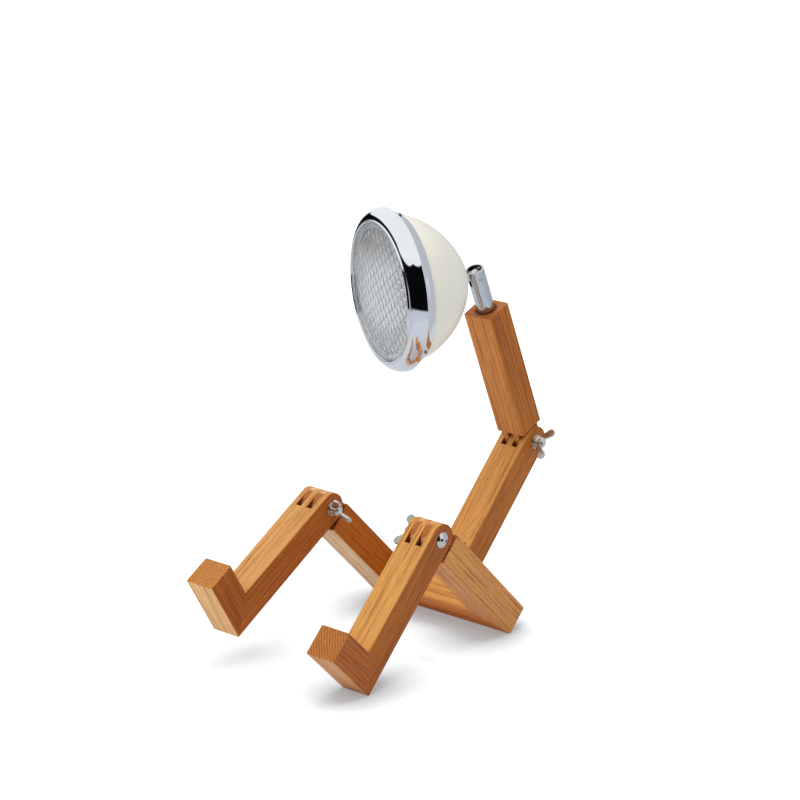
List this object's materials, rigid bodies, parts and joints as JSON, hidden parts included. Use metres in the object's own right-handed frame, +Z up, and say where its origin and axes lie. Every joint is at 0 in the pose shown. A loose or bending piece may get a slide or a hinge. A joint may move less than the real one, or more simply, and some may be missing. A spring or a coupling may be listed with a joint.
{
  "type": "robot shaped desk lamp",
  "caption": "Desk lamp shaped like a seated robot: wooden bars with bolted finger joints, a chrome neck tube and a round lamp head with a cream bowl and chrome bezel.",
  "frame": {"origin": "on the ground, under the middle of the eased hip edge that the lamp sits on", "axes": "+Z up, the robot faces -Y, +X towards its left knee"},
  "size_m": [0.15, 0.3054, 0.3068],
  "materials": {
    "ash_wood": "oiled, straight grained",
    "dowel_wood": "plain",
    "bright_steel": "polished",
    "chrome_trim": "polished",
    "chrome_tube": "polished",
    "dark_steel": "blackened",
    "plain_steel": "plain",
    "cream_enamel": "gloss",
    "light_boss": "gloss",
    "clear_lens": "prismatic pattern",
    "black_rubber": "matt",
    "white_silicone": "matt",
    "mirror_finish": "polished",
    "white_board": "satin",
    "phosphor": "matt",
    "sink_aluminium": "turned",
    "green_board": "satin",
    "white_plastic": "matt",
    "black_plastic": "satin",
    "green_plastic": "satin",
    "red_wire": "satin"
  },
  "bodies": {
    "hips": {"hip_crossbar": "ash_wood", "left_thigh": "ash_wood", "right_thigh": "ash_wood", "hip_hinge_block": "ash_wood", "hip_corner_dowels": "dowel_wood"},
    "left_lower_leg": {"left_shin": "ash_wood", "left_foot": "ash_wood", "left_foot_dowel": "dowel_wood", "left_knee_bolt": "bright_steel", "left_knee_washer": "bright_steel"},
    "right_lower_leg": {"right_shin": "ash_wood", "right_foot": "ash_wood", "right_foot_dowel": "dowel_wood", "right_knee_bolt": "bright_steel", "right_knee_washer": "bright_steel"},
    "torso": {"torso_bar": "ash_wood", "hip_bolt": "bright_steel", "hip_washer": "bright_steel", "waist_bolt": "bright_steel", "waist_washer": "bright_steel"},
    "upper": {"upper_bar": "ash_wood", "neck_grub_screw": "dark_steel"},
    "neck": {"neck_tube": "chrome_tube", "tilt_pin": "plain_steel"},
    "lamp_head": {"tilt_lug": "light_boss", "lug_washer": "plain_steel", "lug_nut": "plain_steel", "lamp_bowl": "cream_enamel", "bezel_ring": "chrome_trim", "bezel_screws": "plain_steel", "lens": "clear_lens", "lens_gasket": "white_silicone", "reflector": "mirror_finish", "led_board": "white_board", "led_chips": "phosphor", "heat_sink": "sink_aluminium", "module_screws": "plain_steel", "driver_board": "green_board", "driver_spacers": "white_plastic", "driver_screws": "plain_steel", "driver_parts": "black_plastic", "terminal_block": "green_plastic", "led_leads": "red_wire", "cable_grommet": "black_rubber", "switch_body": "black_plastic", "switch_nut": "plain_steel"},
    "switch_key": {"switch_button": "black_plastic"},
    "left_knee_nut": {"left_knee_wing_nut": "bright_steel"},
    "right_knee_nut": {"right_knee_wing_nut": "bright_steel"},
    "hip_nut": {"hip_wing_nut": "bright_steel"},
    "waist_nut": {"waist_wing_nut": "bright_steel"}
  },
  "joints": [
    {"name": "left_knee", "type": "hinge", "parent": "hips", "child": "left_lower_leg", "pos_m": [0.052, -0.07672, 0.09242], "axis": [1, 0, 0], "range_deg": [-185, 5]},
    {"name": "right_knee", "type": "hinge", "parent": "hips", "child": "right_lower_leg", "pos_m": [-0.052, -0.07672, 0.09242], "axis": [1, 0, 0], "range_deg": [-120, 19]},
    {"name": "hip", "type": "hinge", "parent": "hips", "child": "torso", "pos_m": [0, 0.01732, 0.03444], "axis": [1, 0, 0], "range_deg": [-95, 60]},
    {"name": "waist", "type": "hinge", "parent": "torso", "child": "upper", "pos_m": [0, 0.09374, 0.11356], "axis": [1, 0, 0], "range_deg": [-160, 28]},
    {"name": "neck_swivel", "type": "hinge", "parent": "upper", "child": "neck", "pos_m": [0, 0.04839, 0.22358], "axis": [0, -0.3811, 0.9245], "continuous": true},
    {"name": "head_tilt", "type": "hinge", "parent": "neck", "child": "lamp_head", "pos_m": [0, 0.03734, 0.2504], "axis": [-0.8988, 0.4053, 0.1671], "range_deg": [-24, 70]},
    {"name": "switch_press", "type": "slide", "parent": "lamp_head", "child": "switch_key", "axis": [0.3707, -0.9155, -0.1564], "range_m": [0, 0.0015], "stiffness_N_per_m": 1500, "springref_m": -0.001},
    {"name": "left_knee_nut_turn", "type": "hinge", "parent": "left_lower_leg", "child": "left_knee_nut", "pos_m": [0.052, -0.07672, 0.09242], "axis": [-1, 0, 0], "continuous": true},
    {"name": "right_knee_nut_turn", "type": "hinge", "parent": "right_lower_leg", "child": "right_knee_nut", "pos_m": [-0.052, -0.07672, 0.09242], "axis": [1, 0, 0], "continuous": true},
    {"name": "hip_nut_turn", "type": "hinge", "parent": "torso", "child": "hip_nut", "pos_m": [0, 0.01732, 0.03444], "axis": [1, 0, 0], "continuous": true},
    {"name": "waist_nut_turn", "type": "hinge", "parent": "torso", "child": "waist_nut", "pos_m": [0, 0.09374, 0.11356], "axis": [1, 0, 0], "continuous": true}
  ]
}
